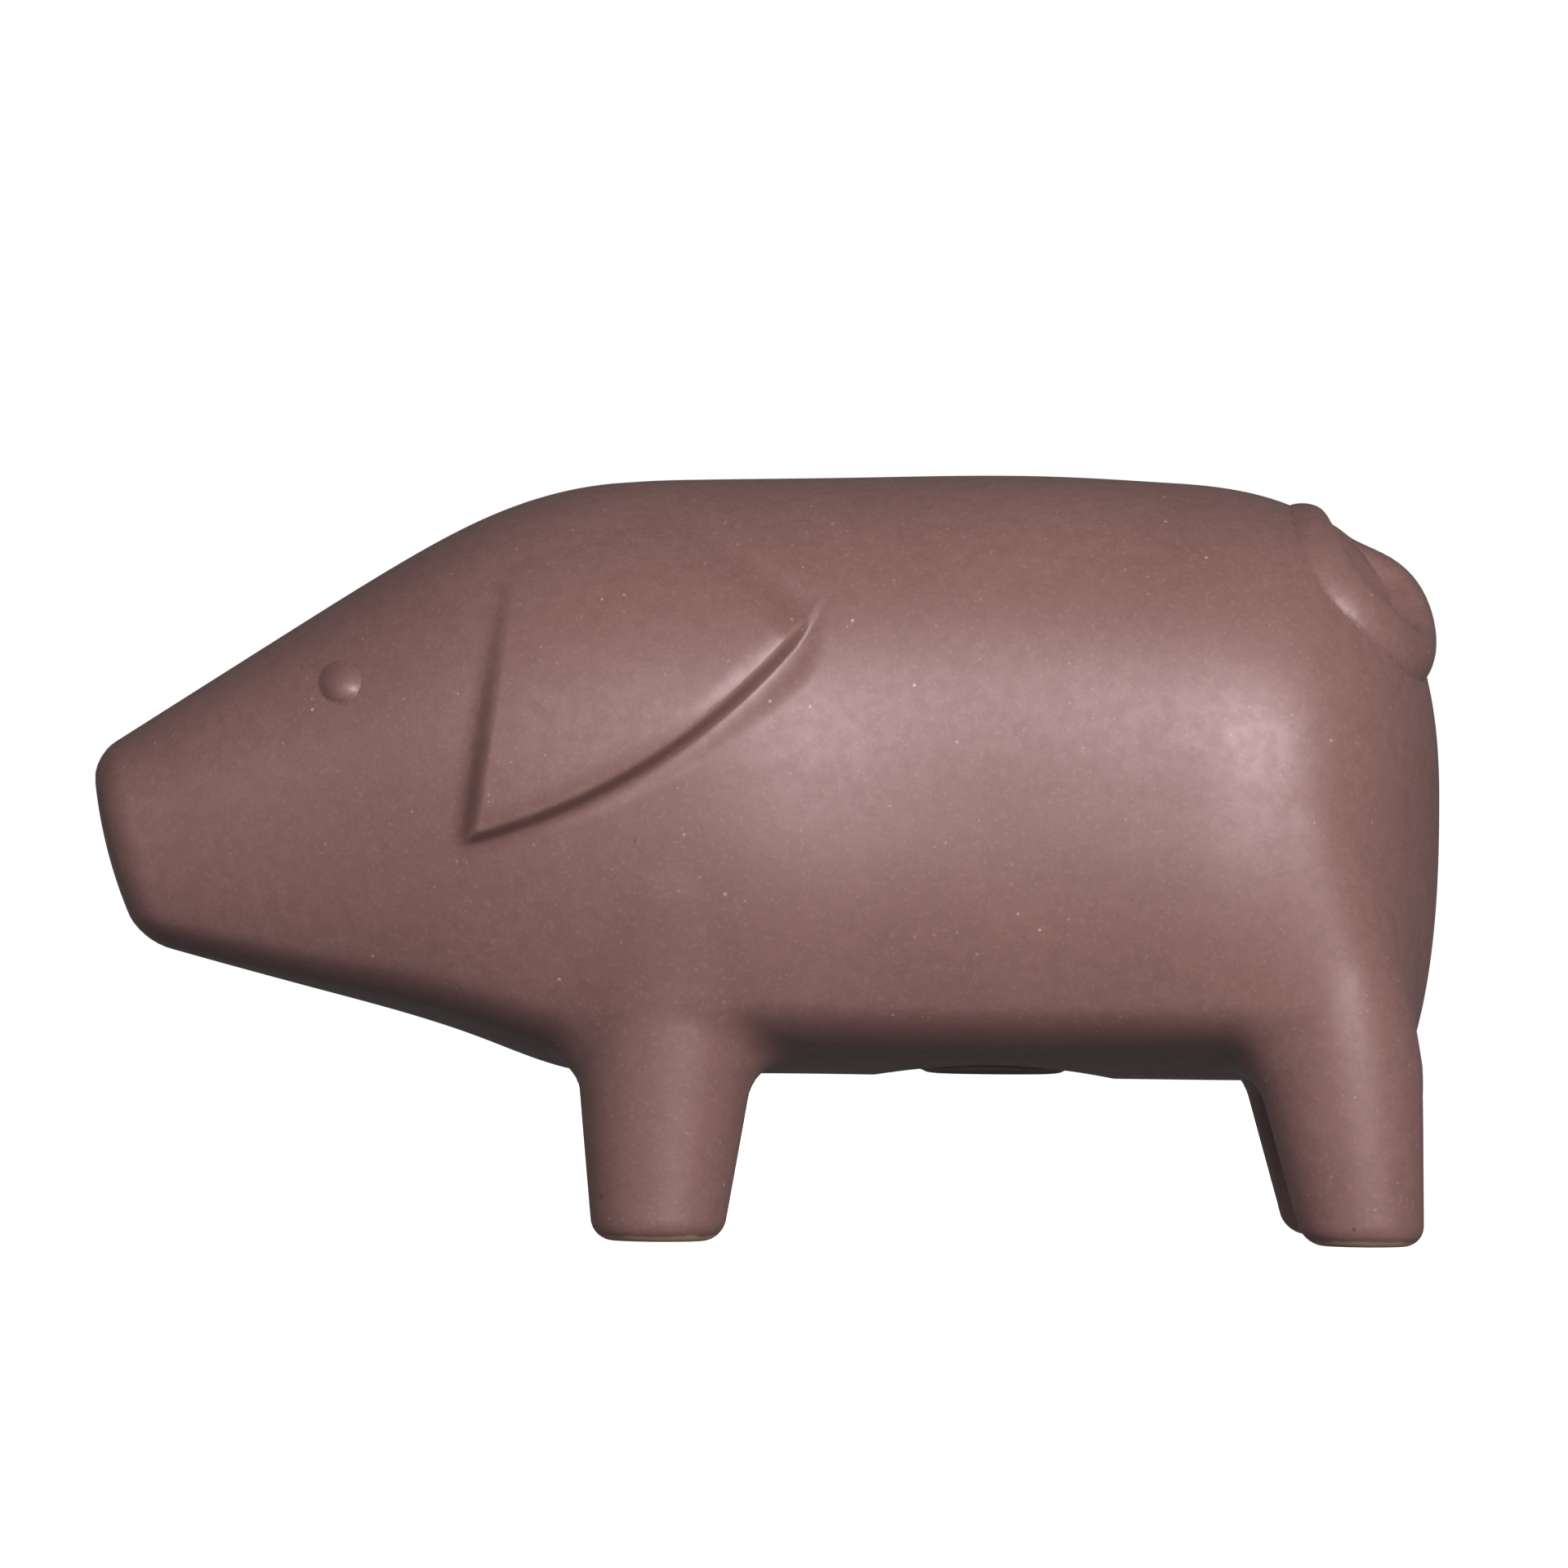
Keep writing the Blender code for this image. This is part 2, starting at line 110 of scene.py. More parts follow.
# The tail's curl, from its thick root to its tip: (down the rump, across it, half-width, height)
TAIL_PATH = ((-9.5, 2.5, 3.6, 0.8), (-4.5, 3.0, 4.5, 1.3), (0.5, 3.0, 5.6, 3.5), (5.0, 2.0, 6.4, 4.3),
             (9.0, -2.5, 5.8, 3.6), (11.8, -9.5, 4.0, 2.7), (10.8, -17.5, 3.6, 2.6), (5.2, -23.5, 3.5, 2.6),
             (-2.0, -25.5, 3.4, 2.5), (-8.5, -22.0, 3.2, 2.4), (-13.0, -13.5, 2.8, 2.0),
             (-14.3, -4.0, 2.4, 1.4), (-13.2, 3.0, 1.9, 0.5))
TAIL_DISH = (-1.0, -11.5, 8.5, 3.4)    # the hollow inside the curl: down, across, radius, depth
TAIL_STEPS = 60
TAIL_FULLNESS = 0.72     # power of the ridge's cross-section

WALL = 4.0
SLOT_FLOOR = 104.0       # below the wall's inner side
SLOT_X = 12.0
SLOT_LENGTH = 38.0
SLOT_WIDTH = 5.0
HOLE_X = 34.0
HOLE_RADIUS = 14.5
SEAT_RADIUS = 17.2
SEAT_TOP = 27.6
BORE_TOP = 34.0
BOSS_RADIUS = 23.0
BOSS_TOP = 30.8
BOSS_FILLET = 3.0
RIM_RADIUS = 0.9         # glaze-softened edges of slot and hole

PLUG_FACE = 24.0
PLUG_DOME = 1.4          # rise of the plug's face from its middle to its edge
PLUG_TOP = 36.0
PLUG_RIBS = (29.0, 32.2)

LIGHT_REACH = 1.1        # metres from the softboxes to what they are aimed at
EDGE_GAIN = 4.0          # how strongly the glaze thins on a curved edge, and how strongly creases get painted shade

BOX_LOW = (-104, -47, -3)
BOX_HIGH = (104, 47, 117)
CORE_STEP = 2.4
SLOPE_STEP = 0.15        # step for reading the shape's slope
GRID_STEP = 1.6
REFINE_LEVELS = 2


def smooth_curve(stations, x):
    """Natural cubic spline through the stations, held level past both ends."""
    at, value = np.array(stations, float).T
    gap = np.diff(at)
    slope = np.diff(value) / gap
    size = len(at)
    matrix = np.eye(size)
    right = np.zeros(size)
    for i in range(1, size - 1):
        matrix[i, i - 1:i + 2] = gap[i - 1], 2 * (gap[i - 1] + gap[i]), gap[i]
        right[i] = 6 * (slope[i] - slope[i - 1])
    bend = np.linalg.solve(matrix, right)
    x = np.clip(x, at[0], at[-1])
    i = np.clip(np.searchsorted(at, x) - 1, 0, size - 2)
    a = at[i + 1] - x
    b = x - at[i]
    cubic = (bend[i] * a ** 3 + bend[i + 1] * b ** 3) / (6 * gap[i])
    left = value[i] / gap[i] - bend[i] * gap[i] / 6
    right = value[i + 1] / gap[i] - bend[i + 1] * gap[i] / 6
    return cubic + left * a + right * b


def smooth_step(t):
    t = np.clip(t, 0.0, 1.0)
    return t * t * (3 - 2 * t)


def round_union(a, b, radius):
    both = np.hypot(np.maximum(radius - a, 0), np.maximum(radius - b, 0))
    return np.maximum(radius, np.minimum(a, b)) - both


def round_cut(a, b, radius):
    both = np.hypot(np.maximum(radius + a, 0), np.maximum(radius + b, 0))
    return np.minimum(-radius, np.maximum(a, b)) + both


def gradient(field, p, step=0.02):
    here = field(p)
    slopes = []
    for axis in range(3):
        shift = np.zeros(3)
        shift[axis] = step
        slopes.append((field(p + shift) - here) / step)
    return here, np.stack(slopes, axis=-1)


def barrel_level(p):
    """1 on the barrel of body and head, less inside."""
    x, y, z = p.T
    middle = smooth_curve(MIDDLE_LINE, x)
    reach = np.where(z > middle, smooth_curve(TOP_LINE, x) - middle, middle - smooth_curve(LOW_LINE, x))
    power = smooth_curve(HEIGHT_POWER, x)
    side_power = smooth_curve(SIDE_POWER, x)
    up = np.abs(z - middle) / reach
    side = np.abs(y) / smooth_curve(HALF_WIDTH, x)
    back = np.maximum(x - RUMP_START, 0) / (RUMP_END - RUMP_START)
    return (up ** power + side ** side_power + back ** RUMP_POWER + 1e-9) ** (1 / power)


def barrel(p):
    level, slopes = gradient(barrel_level, p)
    return (level - 1) / np.maximum(np.linalg.norm(slopes, axis=-1), 0.008)


def underside(p):
    x, y, z = p.T
    slope = smooth_curve(BELLY_LINE, x + 0.5) - smooth_curve(BELLY_LINE, x - 0.5)
    rise = BELLY_RISE * (y / BELLY_RISE_AT) ** 2
    tilt = 2 * BELLY_RISE * y / BELLY_RISE_AT ** 2
    return (smooth_curve(BELLY_LINE, x) + rise - z) / np.sqrt(1 + slope ** 2 + tilt ** 2)


def snout_face(p):
    x, y, z = p.T
    depth_squared = SNOUT_RADIUS ** 2 - y ** 2 - (z - SNOUT_CENTRE[1]) ** 2
    depth = np.sqrt(np.maximum(depth_squared, SNOUT_RADIUS ** 2 / 2))
    return (SNOUT_CENTRE[0] - depth - x) * depth / SNOUT_RADIUS


def leg(p, shape, side, outward):
    """One tapered leg on both sides of the mid-plane, and how far each point of it faces outward, 0 to 1."""
    x, y, z = p.T
    foot_x, lean, foot_radius, forward = shape
    foot_side, slope, bend, top = side
    radius = foot_radius + LEG_TAPER * np.clip(z, 0, LEG_TAPER_TOP)
    climb = np.maximum(z - LEG_TURN, 0) ** 2
    over = np.maximum(z - top, 0)
    height = np.clip(z, 0, top)
    dx = x - foot_x - lean * z + forward * climb
    dy = np.abs(y) - (foot_side + slope * height + bend * height ** 2 - radius)
    reach = np.sqrt(dx ** 2 + dy ** 2 + over ** 2)
    facing = smooth_step((dx * outward[0] + dy * outward[1]) / np.maximum(reach, 1e-6) * 1.2)
    return round_cut(reach - radius, 0.01 - z, FOOT_EDGE), facing


def bare_pig(p):
    """Distance to the pig without ears, eyes or tail."""
    body = round_cut(barrel(p), underside(p), FLANK_RADIUS)
    body = round_cut(body, snout_face(p), SNOUT_EDGE)
    front, front_facing = leg(p, FRONT_LEG, FRONT_SIDE, FRONT_OUTWARD)
    rear, rear_facing = leg(p, REAR_LEG, REAR_SIDE, REAR_OUTWARD)
    facing = np.where(front < rear, front_facing, rear_facing)
    return round_union(body, np.minimum(front, rear), LEG_FILLET * (1 - OUTWARD_SHARE * facing))


def arc_side(x, z, start, end, radius):
    """Distance outside the arc that bulges to the right of the way from start to end."""
    ax, az = start
    bx, bz = end
    chord = math.hypot(bx - ax, bz - az)
    ux, uz = (bx - ax) / chord, (bz - az) / chord
    inward = math.sqrt(radius ** 2 - chord ** 2 / 4)
    cx = (ax + bx) / 2 - uz * inward
    cz = (az + bz) / 2 + ux * inward
    return np.hypot(x - cx, z - cz) - radius


def ear_lines(x, z):
    """Distances outside the ear's front, lower and top edges, less than 0 inside them."""
    (fx, fz), (gx, gz) = EAR_FRONT
    run = math.hypot(gx - fx, gz - fz)
    front = ((x - fx) * (gz - fz) - (z - fz) * (gx - fx)) / run
    lower = arc_side(x, z, EAR_CORNER, EAR_TIP, EAR_LOWER_RADIUS)
    upper = arc_side(x, z, EAR_TOP[0], EAR_TOP[1], EAR_TOP_RADIUS)
    return front, lower, upper


def rounded_step(inside, radius):
    """0 outside an edge and 1 inside it, with a round shoulder and a soft crease at its foot."""
    soft = 0.5 * (inside + np.sqrt(inside ** 2 + 0.5)) * smooth_step((inside + 2.5) / 2.5)
    return 1 - (1 - np.clip(soft / radius, 0, 1)) ** 2


def ear_relief(p):
    """A flap that hangs from the poll: steep at its front and lower edges, folded into the neck behind."""
    x, _, z = p.T
    front, lower, upper = ear_lines(x, z)
    root_x, root_z = EAR_FRONT[0]
    hang = (x - root_x) * EAR_HANG[0] + (z - root_z) * EAR_HANG[1]
    root = np.clip(hang / EAR_LENGTH, 0, 1) ** 0.8
    roll = EAR_ROLL_BEND * np.maximum(EAR_ROLL + np.minimum(lower, 0), 0) ** 2
    lip = rounded_step(-lower, EAR_LOWER_LIP) * rounded_step(-front, EAR_FRONT_LIP)
    back = smooth_step((1.0 - upper) / EAR_BACK_BLEND)
    flap = np.maximum(EAR_HEIGHT * root - roll * root, 0) * lip * back

    along = np.clip((x - EAR_CORNER[0]) / (EAR_TIP[0] - EAR_CORNER[0]), 0, 1)
    under = np.clip(lower / (TROUGH_REACH[0] + TROUGH_REACH[1] * along ** 1.5), 0, 1)
    tip_end = smooth_step((EAR_TIP[0] + 2.5 - x) / 5.0)
    corner_end = smooth_step((x - EAR_CORNER[0] - 4.0) / 14.0)
    wall = smooth_step((lower + 1.4) / 2.0) * (1 - under ** 2) ** 2
    trough = TROUGH_DEPTH * along * wall * tip_end * corner_end

    fold_ends = smooth_step((x + 24.0) / 8.0) * tip_end * (1 - smooth_step((lower + 2) / 3))
    fold = FOLD_DEPTH * np.exp(-((upper - 0.5) / FOLD_WIDTH) ** 2) * fold_ends
    return flap - trough - fold


def eye_relief(p):
    x, y, z = p.T
    away = np.hypot(x - EYE[0], z - EYE[1]) / EYE_RADIUS
    return EYE_HEIGHT * np.clip(1 - away ** 2, 0, 1) ** 0.9 * (np.abs(y) > 5)


def tail_place(x, z):
    """How far out of the rump a point is, and how far down it, from the tail's centre."""
    nx, nz = TAIL_NORMAL
    out = (x - TAIL_CENTRE[0]) * nx + (z - TAIL_CENTRE[1]) * nz
    down = (x - TAIL_CENTRE[0]) * nz - (z - TAIL_CENTRE[1]) * nx
    return out, down


def tail_relief(p):
    """A curl lying on the rump, as a ridge along a spiral path."""
    x, y, z = p.T
    relief = np.zeros(len(p))
    out, along = tail_place(x, z)
    near = out > TAIL_BEHIND
    along = along[near]
    stations = np.array(TAIL_PATH)
    steps = np.arange(len(stations))
    at = np.linspace(0, steps[-1], TAIL_STEPS)
    path = [smooth_curve(list(zip(steps, column)), at) for column in stations.T]
    path = np.stack(path, axis=-1)
    ridge = np.zeros(len(along))
    for first, second in zip(path[:-1], path[1:]):
        run = second[:2] - first[:2]
        share = ((along - first[0]) * run[0] + (y[near] - first[1]) * run[1]) / (run @ run)
        share = np.clip(share, 0, 1)
        down, across, width, height = (a + share * (b - a) for a, b in zip(first, second))
        away = ((along - down) ** 2 + (y[near] - across) ** 2) / width ** 2
        ridge = np.maximum(ridge, height * np.clip(1 - away, 0, 1) ** TAIL_FULLNESS)
    relief[near] = ridge
    return relief


def tail_dish(p):
    x, y, z = p.T
    out, along = tail_place(x, z)
    down, across, radius, depth = TAIL_DISH
    away = np.hypot(along - down, y - across) / radius
    return depth * smooth_step(1.3 - away) * (out > TAIL_BEHIND)


def slot_pit(p):
    x, y, z = p.T
    end = np.maximum(np.abs(x - SLOT_X) - (SLOT_LENGTH - SLOT_WIDTH) / 2, 0)
    return np.maximum(np.hypot(end, y) - SLOT_WIDTH / 2, SLOT_FLOOR - z)


def hole_pit(p):
    """The stepped hole that the plug sits in."""
    x, y, z = p.T
    away = np.hypot(x - HOLE_X, y)
    seat = np.maximum(away - SEAT_RADIUS, z - SEAT_TOP)
    bore = np.maximum(away - HOLE_RADIUS, z - BORE_TOP)
    return np.minimum(seat, bore)


def pig(p):
    shape = bare_pig(p) - ear_relief(p) - eye_relief(p) - tail_relief(p) + tail_dish(p)
    shape = round_cut(shape, -slot_pit(p), RIM_RADIUS)
    return round_cut(shape, -hole_pit(p), RIM_RADIUS)


def pierced_pig(p):
    """The plain pig with its slot and hole, the shape the skin is first laid on."""
    shape = round_cut(bare_pig(p), -slot_pit(p), RIM_RADIUS)
    return round_cut(shape, -hole_pit(p), RIM_RADIUS)


def hollow(p):
    x, y, z = p.T
    boss = np.maximum(np.hypot(x - HOLE_X, y) - BOSS_RADIUS, z - BOSS_TOP)
    return round_cut(bare_pig(p) + WALL + tail_dish(p), -boss, BOSS_FILLET)


def settle(field, points, passes, longest):
    """Move points along the field's slope until they lie on its surface."""
    for _ in range(passes):
        value, slope = gradient(field, points)
        move = slope * (value / np.maximum((slope ** 2).sum(-1), 0.05))[:, None]
        length = np.linalg.norm(move, axis=-1)[:, None]
        points = points - move * np.minimum(1, longest / np.maximum(length, 1e-9))
    return points


def grid_values(field, axes):
    """The field on a grid, worked out in full only near the surface."""
    shape = tuple(len(a) for a in axes)
    coarse = [a[::4] for a in axes]
    nodes = np.stack(np.meshgrid(*coarse, indexing="ij"), axis=-1)
    rough = field(nodes.reshape(-1, 3)).reshape(nodes.shape[:3])
    index = [np.minimum((np.arange(n) + 2) // 4, len(c) - 1) for n, c in zip(shape, coarse)]
    value = rough[np.ix_(*index)]
    close = np.abs(value) < 4.5 * (axes[0][1] - axes[0][0]) + 1.0
    place = np.stack([axes[i][k] for i, k in enumerate(np.nonzero(close))], axis=-1)
    value[close] = field(place)
    return value


def skin(field, low, high, step):
    """Quads over the surface where the field is zero, with a vertex in each grid cell that it crosses."""
    axes = [np.arange(a, b + step, step) for a, b in zip(low, high)]
    grid = np.stack(np.meshgrid(*axes, indexing="ij"), axis=-1)
    value = grid_values(field, axes)
    inside = value < 0
    cells = tuple(n - 1 for n in value.shape)
    total = np.zeros(cells + (3,))
    hits = np.zeros(cells)
    crossings = []
    for axis in range(3):
        others = [a for a in range(3) if a != axis]
        first = [slice(None)] * 3
        second = [slice(None)] * 3
        first[axis] = slice(0, -1)
        second[axis] = slice(1, None)
        first, second = tuple(first), tuple(second)
        crosses = inside[first] != inside[second]
        share = value[first] / np.where(crosses, value[first] - value[second], 1)
        place = grid[first] + share[..., None] * (grid[second] - grid[first])
        for i in (0, 1):
            for j in (0, 1):
                window = [slice(None)] * 3
                window[others[0]] = slice(i, i + cells[others[0]])
                window[others[1]] = slice(j, j + cells[others[1]])
                window = tuple(window)
                total += np.where(crosses[window][..., None], place[window], 0)
                hits += crosses[window]
        crossings.append((others, crosses, inside[first]))
    used = hits > 0
    number = np.full(cells, -1)
    number[used] = np.arange(used.sum())
    points = total[used] / hits[used][:, None]
    quads = []
    for axis, (others, crosses, starts_inside) in enumerate(crossings):
        at = np.argwhere(crosses)
        corner = []
        for i, j in ((0, 0), (1, 0), (1, 1), (0, 1)):
            cell = at.copy()
            cell[:, others[0]] -= i
            cell[:, others[1]] -= j
            corner.append(number[tuple(cell.T)])
        quad = np.stack(corner, axis=-1)
        turned = starts_inside[tuple(at.T)] == (axis == 1)
        quad[turned] = quad[turned][:, ::-1]
        quads.append(quad)
    return points, np.concatenate(quads)


def edge_pairs(faces):
    """Each side of each face, as pairs of point numbers."""
    first, second = [], []
    for face in faces:
        first.extend(face)
        second.extend(face[1:] + face[:1])
    return np.array([first, second])


def neighbour_mean(values, pairs):
    a, b = pairs
    count = np.bincount(a, minlength=len(values)) + np.bincount(b, minlength=len(values))
    total = np.empty_like(values)
    for column in range(values.shape[1]):
        total[:, column] = np.bincount(a, values[b, column], len(values))
        total[:, column] += np.bincount(b, values[a, column], len(values))
    return total / count[:, None]


def refine(points, faces, wanted):
    """Split each wanted quad in four; the faces beside them take the new points into their sides."""
    fresh = []
    middle = {}
    size = len(points)

    def halfway(i, j):
        key = (i, j) if i < j else (j, i)
        if key not in middle:
            middle[key] = size + len(fresh)
            fresh.append((points[i] + points[j]) / 2)
        return middle[key]

    split = []
    for face, take in zip(faces, wanted):
        if take:
            sides = [halfway(face[k], face[(k + 1) % 4]) for k in range(4)]
            centre = size + len(fresh)
            fresh.append(sum(points[k] for k in face) / 4)
            split.extend([face[k], sides[k], centre, sides[k - 1]] for k in range(4))
    for face, take in zip(faces, wanted):
        if not take:
            grown = []
            for k, corner in enumerate(face):
                after = face[(k + 1) % len(face)]
                key = (corner, after) if corner < after else (after, corner)
                grown.append(corner)
                if key in middle:
                    grown.append(middle[key])
            split.append(grown)
    return np.concatenate([points, np.array(fresh)]), split


def detail_zones(p, level):
    """Where the skin needs smaller faces: around ears, eyes, tail, slot and hole, and at the feet."""
    x, y, z = p.T
    front, lower, upper = ear_lines(x, z)
    band = (3.6, 2.2)[level]
    around = (x > -50) & (x < 13) & (z > 52) & (z < 108) & (np.abs(y) > 12)
    edges = (np.abs(front + 0.8) < band) | (np.abs(lower - 0.3) < band + 0.8) | (np.abs(lower - 5) < band)
    edges |= np.abs(upper - 0.5) < band
    zone = around & edges & (front < band) & (lower < 8) & (upper < 5)
    zone |= np.hypot(x - EYE[0], z - EYE[1]) < EYE_RADIUS + 1.5
    out, down = tail_place(x, z)
    zone |= (out > -12) & (np.abs(down) < 20) & (y > -32) & (y < 12)
    slot = np.abs(slot_pit(p)) < 3
    hole = np.abs(hole_pit(p)) < 3
    zone |= (slot & (z > 108)) | (hole & (z < 33))
    if level == 0:
        zone |= z < 5
    return zone


def new_mesh(name, points, faces):
    mesh = bpy.data.meshes.new(name)
    mesh.from_pydata((points * MM).tolist(), [], faces)
    mesh.update()
    mesh.polygons.foreach_set("use_smooth", np.ones(len(mesh.polygons), bool))
    item = bpy.data.objects.new(name, mesh)
    bpy.context.scene.collection.objects.link(item)
    return item


def float_layer(mesh, name, values):
    layer = mesh.attributes.new(name, "FLOAT", "POINT")
    layer.data.foreach_set("value", np.asarray(values, np.float32))


def slope_at(points, step):
    sides = []
    for axis in range(3):
        shift = np.zeros(3)
        shift[axis] = step
        sides.append(pig(points + shift) - pig(points - shift))
    slope = np.stack(sides, axis=-1)
    return slope / np.maximum(np.linalg.norm(slope, axis=-1), 1e-9)[:, None]


def smooth_shade(mesh):
    """Give the outer skin the exact slope of the shape as its shading normals; the inside keeps its own."""
    count = len(mesh.vertices)
    place = np.empty(count * 3, np.float32)
    normal = np.empty(count * 3, np.float32)
    mesh.vertices.foreach_get("co", place)
    mesh.vertices.foreach_get("normal", normal)
    place = place.reshape(-1, 3).astype(float) / MM
    normal = normal.reshape(-1, 3).astype(float)
    slope = slope_at(place, SLOPE_STEP)
    outer = (np.abs(pig(place)) < 0.3) & ((slope * normal).sum(-1) > 0.6) & (place[:, 2] > 0.5)
    normal[outer] = slope[outer]
    mesh.normals_split_custom_set_from_vertices(normal.tolist())


def relax(field, points, pairs, passes, longest):
    """Even the points out among their neighbours, then put them back on the surface."""
    return settle(field, (points + neighbour_mean(points, pairs)) / 2, passes, longest)


def edge_bulge(points, pairs):
    """How sharply the skin bends at each point: above 0 on edges, below 0 in creases."""
    apart = np.linalg.norm(points[pairs[0]] - points[pairs[1]], axis=-1)
    sides = np.maximum(np.bincount(pairs[0], minlength=len(points)), 1)
    reach = np.bincount(pairs[0], apart, len(points)) / sides
    lift = points - neighbour_mean(points, pairs)
    bulge = (lift * slope_at(points, SLOPE_STEP)).sum(-1) / reach ** 2
    for _ in range(2):
        bulge = neighbour_mean(bulge[:, None], pairs)[:, 0]
    return bulge


def carve_hollow(body):
    """Cut the coin hollow out of the body."""
    points, quads = skin(hollow, BOX_LOW, BOX_HIGH, CORE_STEP)
    faces = quads.tolist()
    points = relax(hollow, points, edge_pairs(faces), 3, 1.0)
    core = new_mesh("core", points, faces)
    carve = body.modifiers.new("Hollow", "BOOLEAN")
    carve.operation = "DIFFERENCE"
    carve.solver = "EXACT"
    carve.object = core
    graph = bpy.context.evaluated_depsgraph_get()
    carved = bpy.data.meshes.new_from_object(body.evaluated_get(graph))
    body.modifiers.clear()
    body.data = carved
    bpy.data.objects.remove(core)


def build_body():
    points, quads = skin(pierced_pig, BOX_LOW, BOX_HIGH, GRID_STEP)
    faces = quads.tolist()
    pairs = edge_pairs(faces)
    for _ in range(2):
        points = relax(pig, points, pairs, 2, GRID_STEP)
    for level in range(REFINE_LEVELS):
        corner = np.array([face if len(face) == 4 else [face[0]] * 4 for face in faces])
        wanted = detail_zones(points[corner].mean(1), level) & (corner[:, 0] != corner[:, 1])
        points, faces = refine(points, faces, wanted.tolist())
        pairs = edge_pairs(faces)
        for _ in range(2):
            points = relax(pig, points, pairs, 2, GRID_STEP / 2 ** (level + 1))
    points = settle(pig, points, 3, 0.3)
    points[:, 2] = np.maximum(points[:, 2], 0.0)

    body = new_mesh("glazed_body", points, faces)
    float_layer(body.data, "edge", np.clip(edge_bulge(points, pairs) * EDGE_GAIN, -1, 1))
    carve_hollow(body)
    smooth_shade(body.data)
    return body


def lathe(name, profile, centre, sides=128):
    """Turn a (radius, Z) profile that starts and ends on the axis about that vertical axis."""
    points = [(centre[0], centre[1], profile[0][1])]
    for radius, z in profile[1:-1]:
        for k in range(sides):
            turn = 2 * math.pi * k / sides
            points.append((centre[0] + radius * math.cos(turn), centre[1] + radius * math.sin(turn), z))
    points.append((centre[0], centre[1], profile[-1][1]))
    rings = len(profile) - 2
    last = 1 + (rings - 1) * sides
    faces = []
    for k in range(sides):
        after = (k + 1) % sides
        faces.append((0, 1 + after, 1 + k))
        for r in range(rings - 1):
            base = 1 + r * sides
            faces.append((base + k, base + after, base + sides + after, base + sides + k))
        faces.append((last + k, last + after, len(points) - 1))
    return new_mesh(name, np.array(points), faces)


def build_plug():
    """Soft moulded plug: a domed flange with a raised ring, a ribbed neck and a rounded nose."""
    flange = SEAT_RADIUS - 0.6
    neck = HOLE_RADIUS - 0.3
    face = [(0, 0.5), (6.0, 0.5), (7.2, 0.45), (8.0, 0.05), (8.6, 0.0), (9.4, 0.0), (10.0, 0.05)]
    face += [(10.8, 0.35), (13.6, 0.35), (14.4, 0.05), (15.0, 0.0)]
    face += [(flange - 0.7, 0.0), (flange - 0.2, 0.2), (flange, 0.7)]
    profile = [(r, PLUG_FACE + PLUG_DOME * (r / flange) ** 2 + sunk) for r, sunk in face]
    profile += [(flange, SEAT_TOP - 0.5)]
    profile += [(flange - 0.2, SEAT_TOP - 0.3), (neck - 0.5, SEAT_TOP - 0.3), (neck - 0.6, SEAT_TOP - 0.1)]
    for rib in PLUG_RIBS:
        profile += [(neck - 0.6, rib - 0.9), (neck - 0.15, rib - 0.2), (neck, rib + 0.2)]
        profile += [(neck - 0.15, rib + 0.6), (neck - 0.6, rib + 1.3)]
    profile += [(neck - 0.6, PLUG_TOP - 2.0), (neck - 0.9, PLUG_TOP - 0.9), (neck - 1.8, PLUG_TOP - 0.2)]
    profile += [(neck - 2.6, PLUG_TOP), (0, PLUG_TOP)]
    return lathe("soft_plug", profile, (HOLE_X, 0))


class Shader:
    """Short way to write a node tree."""

    def __init__(self, name):
        self.material = bpy.data.materials.new(name)
        self.material.use_nodes = True
        self.tree = self.material.node_tree
        self.principled = self.tree.nodes["Principled BSDF"]

    def node(self, kind, inputs=(), **settings):
        made = self.tree.nodes.new(kind)
        for key, value in settings.items():
            setattr(made, key, value)
        for socket, value in dict(inputs).items():
            self.set(made.inputs[socket], value)
        return made

    def set(self, socket, value):
        if isinstance(value, bpy.types.NodeSocket):
            self.tree.links.new(value, socket)
        else:
            socket.default_value = value

    def math(self, operation, a, b):
        return self.node("ShaderNodeMath", {0: a, 1: b}, operation=operation).outputs[0]

    def remap(self, value, low, high, out_low=0.0, out_high=1.0):
        made = self.node("ShaderNodeMapRange", {0: value, 1: low, 2: high, 3: out_low, 4: out_high})
        made.interpolation_type = "SMOOTHSTEP"
        return made.outputs[0]

    def noise(self, place, scale, detail=3.0, roughness=0.5):
        inputs = {"Vector": place, "Scale": scale, "Detail": detail, "Roughness": roughness}
        return self.node("ShaderNodeTexNoise", inputs).outputs["Fac"]

    def mix(self, share, a, b):
        made = self.node("ShaderNodeMix", data_type="RGBA")
        self.set(made.inputs[0], share)
        self.set(made.inputs[6], a)
        self.set(made.inputs[7], b)
        return made.outputs[2]

    def specks(self, place, scale, size, share):
        """1 on small round specks, one in each Voronoi cell of a share of the cells, and a tone for each."""
        cells = self.node("ShaderNodeTexVoronoi", {"Vector": place, "Scale": scale, "Randomness": 1.0})
        dot = self.remap(cells.outputs["Distance"], size, size * 0.35)
        picked = self.node("ShaderNodeSeparateColor", {0: cells.outputs["Color"]})
        keep = self.math("LESS_THAN", picked.outputs[0], share)
        return self.math("MULTIPLY", dot, keep), picked.outputs[1]


